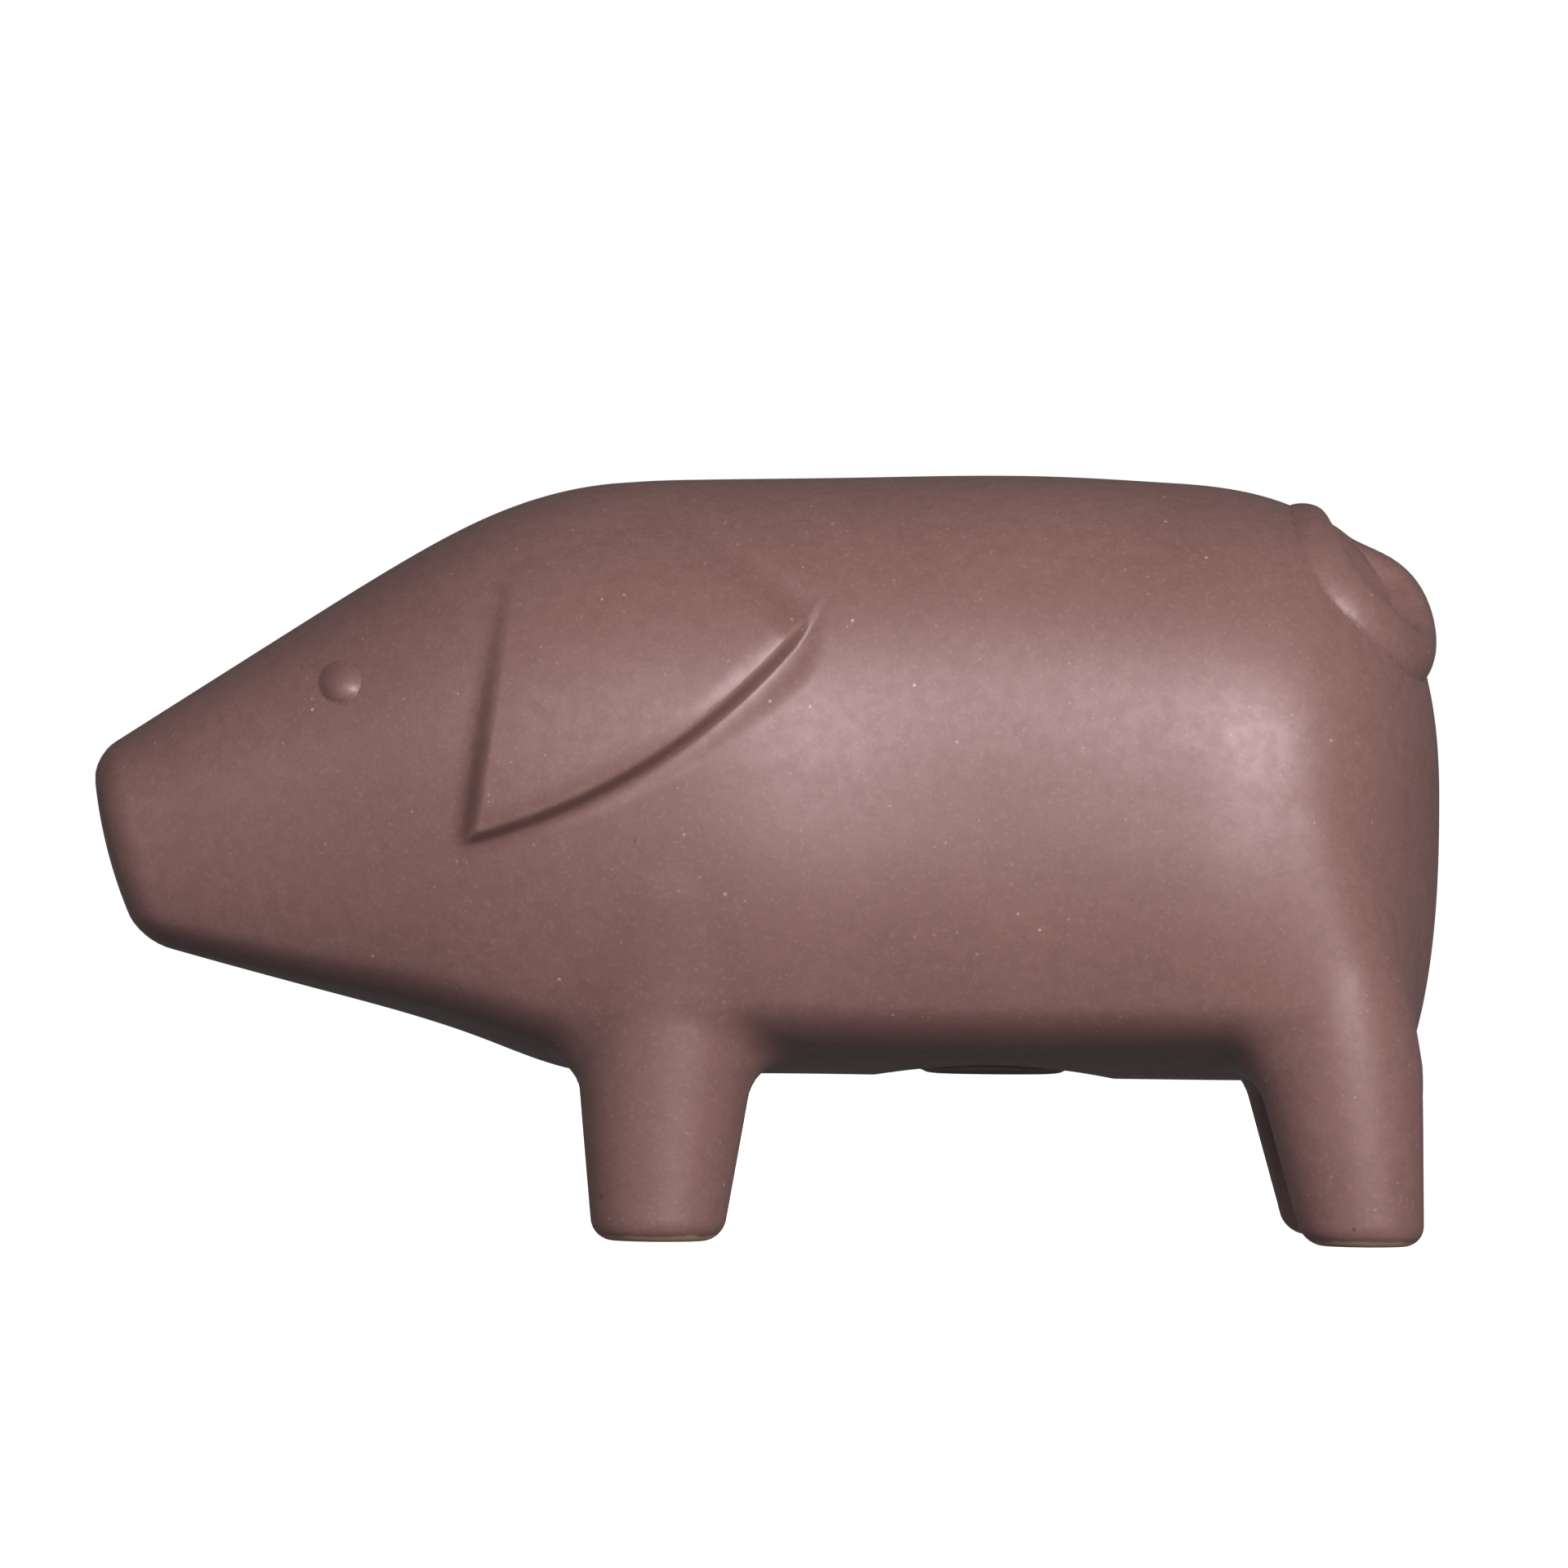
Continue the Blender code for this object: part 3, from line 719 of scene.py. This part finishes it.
def glaze_material():
    s = Shader("mauve_satin_glaze")
    place = s.node("ShaderNodeTexCoord").outputs["Object"]
    edge = s.node("ShaderNodeAttribute", attribute_name="edge").outputs["Fac"]
    height = s.node("ShaderNodeSeparateXYZ", {0: place}).outputs[2]

    cloud = s.noise(place, 22.0, 4.0)
    grain = s.noise(place, 420.0, 3.0, 0.6)
    fine = s.noise(place, 1500.0, 2.0, 0.6)
    base = s.mix(s.remap(cloud, 0.3, 0.7), (0.196, 0.100, 0.090, 1), (0.226, 0.118, 0.107, 1))
    base = s.mix(s.remap(grain, 0.35, 0.7, 0.0, 0.30), base, (0.14, 0.066, 0.058, 1))
    base = s.mix(s.remap(fine, 0.50, 0.75, 0.0, 0.24), base, (0.34, 0.21, 0.19, 1))

    # Where the skin bends: lighter tan where the glaze thins on edges, and darker in creases as painted
    # shade
    thin_edge_and_crease_shade = s.math("ADD", edge, s.math("MULTIPLY", s.math("SUBTRACT", grain, 0.5), 0.35))
    base = s.mix(s.remap(thin_edge_and_crease_shade, 0.30, 0.95, 0.0, 0.38), base, (0.34, 0.20, 0.155, 1))
    base = s.mix(s.remap(thin_edge_and_crease_shade, -0.30, -0.95, 0.0, 0.40), base, (0.12, 0.056, 0.050, 1))

    light, light_tone = s.specks(place, 330.0, 0.12, 0.16)
    shown = s.math("MULTIPLY", light, s.remap(light_tone, 0.0, 1.0, 0.2, 0.75))
    base = s.mix(shown, base, (0.50, 0.38, 0.35, 1))
    tiny, tiny_tone = s.specks(place, 620.0, 0.15, 0.22)
    shown = s.math("MULTIPLY", tiny, s.remap(tiny_tone, 0.0, 1.0, 0.1, 0.5))
    base = s.mix(shown, base, (0.46, 0.33, 0.30, 1))
    dark, dark_tone = s.specks(place, 210.0, 0.10, 0.10)
    shown = s.math("MULTIPLY", dark, s.remap(dark_tone, 0.0, 1.0, 0.2, 0.7))
    base = s.mix(shown, base, (0.07, 0.035, 0.03, 1))

    # painted shade: the glaze colour is made darker where the surface faces down
    normal = s.node("ShaderNodeTexCoord").outputs["Normal"]
    facing = s.node("ShaderNodeSeparateXYZ", {0: normal}).outputs[2]
    base = s.mix(s.remap(facing, -0.45, -0.95, 0.0, 0.6), base, (0.075, 0.036, 0.032, 1))

    wander = s.math("MULTIPLY", s.math("SUBTRACT", s.noise(place, 160.0, 3.0), 0.5), 0.0012)
    bare = s.remap(s.math("ADD", height, wander), 0.0011, 0.0005)
    clay = s.mix(grain, (0.36, 0.25, 0.165, 1), (0.46, 0.33, 0.22, 1))
    base = s.mix(bare, base, clay)

    dull = s.remap(grain, 0.3, 0.7, 0.395, 0.445)
    rough = s.math("ADD", s.math("MULTIPLY", bare, 0.45), dull)
    pores = s.noise(place, 2600.0, 2.0, 0.6)
    swell = s.math("MULTIPLY", s.noise(place, 260.0, 3.0), 0.6)
    rise = s.math("ADD", swell, s.math("MULTIPLY", fine, 0.16))
    rise = s.math("ADD", rise, s.math("MULTIPLY", pores, 0.12))
    rise = s.math("SUBTRACT", rise, s.math("MULTIPLY", dark, 0.35))
    bump = s.node("ShaderNodeBump", {"Strength": 0.10, "Distance": 0.0004, "Height": rise})
    s.set(s.principled.inputs["Base Color"], base)
    s.set(s.principled.inputs["Roughness"], rough)
    s.set(s.principled.inputs["IOR"], 1.65)
    s.set(s.principled.inputs["Specular Tint"], (1.0, 0.84, 0.86, 1))
    s.set(s.principled.inputs["Normal"], bump.outputs[0])
    return s.material


def plug_material():
    s = Shader("soft_plug_rubber")
    place = s.node("ShaderNodeTexCoord").outputs["Object"]
    cloud = s.noise(place, 60.0, 3.0)
    grain = s.noise(place, 900.0, 2.0)
    base = s.mix(s.remap(cloud, 0.3, 0.7), (0.105, 0.066, 0.058, 1), (0.135, 0.087, 0.077, 1))
    dust, _ = s.specks(place, 500.0, 0.12, 0.12)
    base = s.mix(s.math("MULTIPLY", dust, 0.5), base, (0.25, 0.22, 0.20, 1))
    bump = s.node("ShaderNodeBump", {"Strength": 0.15, "Distance": 0.0003, "Height": grain})
    s.set(s.principled.inputs["Base Color"], base)
    s.set(s.principled.inputs["Roughness"], s.remap(grain, 0.3, 0.7, 0.50, 0.62))
    s.set(s.principled.inputs["Normal"], bump.outputs[0])
    return s.material


def area_light(name, target, turn, lift, width, height, power):
    """A softbox aimed at the target; turn (to the right of the front) and lift (above level) in degrees."""
    lamp = bpy.data.lights.new(name, "AREA")
    lamp.shape = "RECTANGLE"
    lamp.size = width
    lamp.size_y = height
    lamp.energy = power
    item = bpy.data.objects.new(name, lamp)
    bpy.context.scene.collection.objects.link(item)
    turn, lift = math.radians(turn), math.radians(lift)
    way = Vector((math.sin(turn) * math.cos(lift), -math.cos(turn) * math.cos(lift), math.sin(lift)))
    item.location = Vector(target) + way * LIGHT_REACH
    item.rotation_euler = (-way).to_track_quat("-Z", "Y").to_euler()
    return item


def build_floor():
    """A pale floor that lights nothing and shows in no reflection."""
    size = 30.0
    corners = [(-size, -size, 0), (size, -size, 0), (size, size, 0), (-size, size, 0)]
    floor = bpy.data.meshes.new("floor")
    floor.from_pydata(corners, [], [(0, 1, 2, 3)])
    floor_item = bpy.data.objects.new("floor", floor)
    bpy.context.scene.collection.objects.link(floor_item)
    s = Shader("pale_floor")
    place = s.node("ShaderNodeTexCoord").outputs["Object"]
    tone = s.mix(s.noise(place, 3.0, 3.0), (0.90, 0.90, 0.90, 1), (0.94, 0.94, 0.94, 1))
    s.set(s.principled.inputs["Base Color"], tone)
    s.set(s.principled.inputs["Roughness"], 0.9)
    s.set(s.principled.inputs["Emission Color"], (1, 1, 1, 1))
    s.set(s.principled.inputs["Emission Strength"], 0.88)
    floor.materials.append(s.material)
    floor_item.visible_diffuse = False
    floor_item.visible_glossy = False


def build_world():
    """Dim even light all round, and a white backdrop."""
    world = bpy.data.worlds.new("studio")
    bpy.context.scene.world = world
    world.use_nodes = True
    tree = world.node_tree
    even = tree.nodes["Background"]
    backdrop = tree.nodes.new("ShaderNodeBackground")
    for node, strength in ((even, 0.125), (backdrop, 1.0)):
        node.inputs["Color"].default_value = (1.0, 1.0, 1.0, 1)
        node.inputs["Strength"].default_value = strength
    path = tree.nodes.new("ShaderNodeLightPath")
    mix = tree.nodes.new("ShaderNodeMixShader")
    tree.links.new(path.outputs["Is Camera Ray"], mix.inputs[0])
    tree.links.new(even.outputs[0], mix.inputs[1])
    tree.links.new(backdrop.outputs[0], mix.inputs[2])
    tree.links.new(mix.outputs[0], tree.nodes["World Output"].inputs[0])


def build_lights():
    target = (0.02, 0.0, 0.065)
    area_light("key_softbox", target, 23.1, 10.9, 0.77, 0.29, 10.1)
    area_light("front_softbox", target, -7.0, 23.1, 1.15, 0.40, 5.5)
    back_fill = area_light("back_fill", target, 180.0, 12.0, 1.5, 0.5, 6.0)
    back_fill.visible_glossy = False


def build_camera():
    bpy.context.scene.view_settings.view_transform = "Standard"
    lens = bpy.data.cameras.new("camera")
    lens.sensor_width = 36.0
    lens.lens = 215.9
    lens.clip_start = 0.05
    camera = bpy.data.objects.new("camera", lens)
    bpy.context.scene.collection.objects.link(camera)
    place = Vector((0.0025, -1.40, 0.050))
    aim = Vector((0.0025, 0.0, 0.0672))
    camera.location = place
    camera.rotation_euler = (aim - place).to_track_quat("-Z", "Y").to_matrix().to_4x4().to_euler()
    camera.rotation_euler.rotate_axis("Z", math.radians(0.46))
    bpy.context.scene.camera = camera


body = build_body()
body.data.materials.clear()
body.data.materials.append(glaze_material())
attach(body, "pig")
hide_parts("ceramic_body")

plug = build_plug()
plug.data.materials.append(plug_material())
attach(plug, "stopper")
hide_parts("belly_stopper")

build_floor()
build_world()
build_lights()
build_camera()
